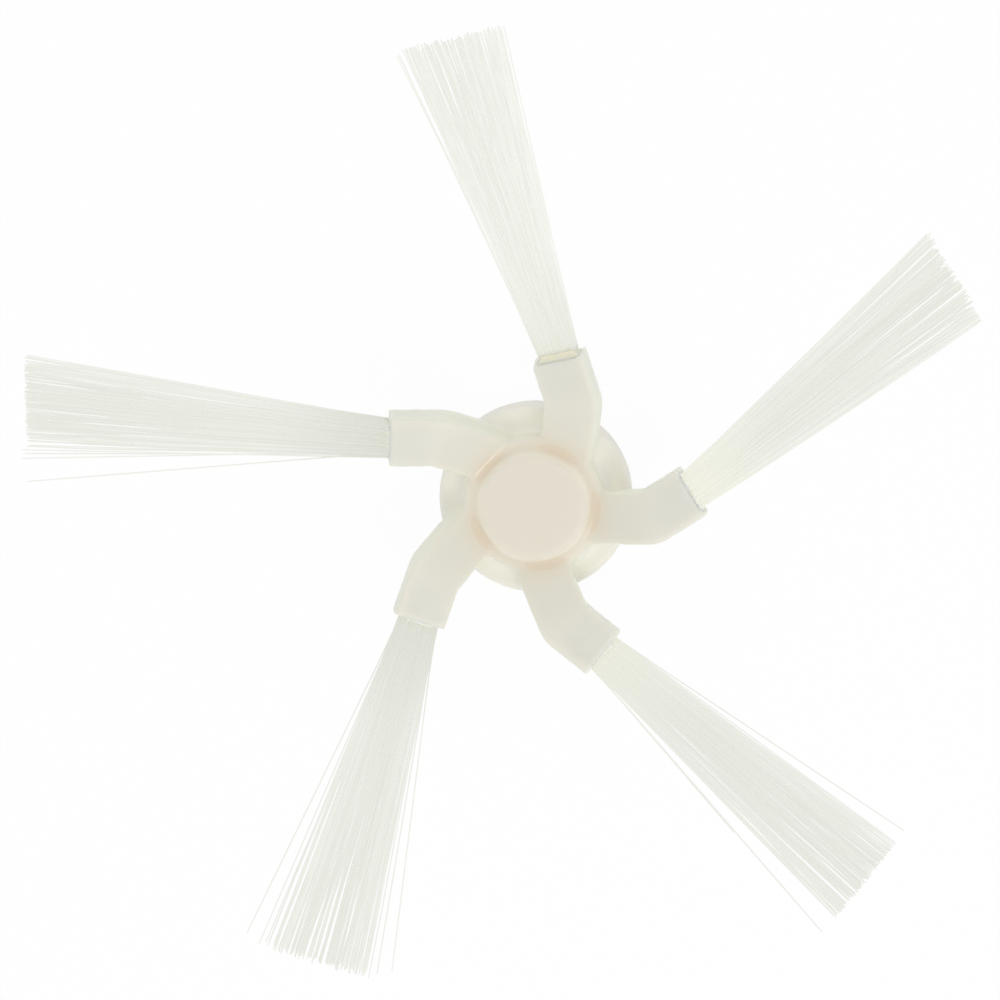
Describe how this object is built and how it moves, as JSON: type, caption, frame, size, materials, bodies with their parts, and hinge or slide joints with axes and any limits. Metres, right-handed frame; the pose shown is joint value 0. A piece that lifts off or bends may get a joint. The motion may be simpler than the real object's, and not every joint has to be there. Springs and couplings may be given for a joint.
{
  "type": "robot vacuum side brush",
  "caption": "Flat spinning side brush for a robot vacuum: a moulded round hub with swept dog-leg arms, each holding a fanned tuft of clear nylon bristles that sweep dust inwards.",
  "frame": {"origin": "on the drive axis, at the mouth of the drive bore, level with the rim that the brush rests on", "axes": "+Z along the drive axis out of the closed boss, towards the floor in use; -Z out of the drive bore; +X along the inner run of the first arm"},
  "size_m": [0.1356, 0.1372, 0.0308],
  "materials": {
    "moulding": "satin warm white, slightly translucent",
    "bristle": "clear nylon filament, soft shine",
    "adhesive": "clear amber, cured"
  },
  "bodies": {
    "root": {"hub_and_arms": "moulding", "bristle_tuft_1": "bristle", "bristle_tuft_2": "bristle", "bristle_tuft_3": "bristle", "bristle_tuft_4": "bristle", "bristle_tuft_5": "bristle", "adhesive_plug_1": "adhesive", "adhesive_plug_2": "adhesive", "adhesive_plug_3": "adhesive", "adhesive_plug_4": "adhesive", "adhesive_plug_5": "adhesive"}
  },
  "joints": []
}
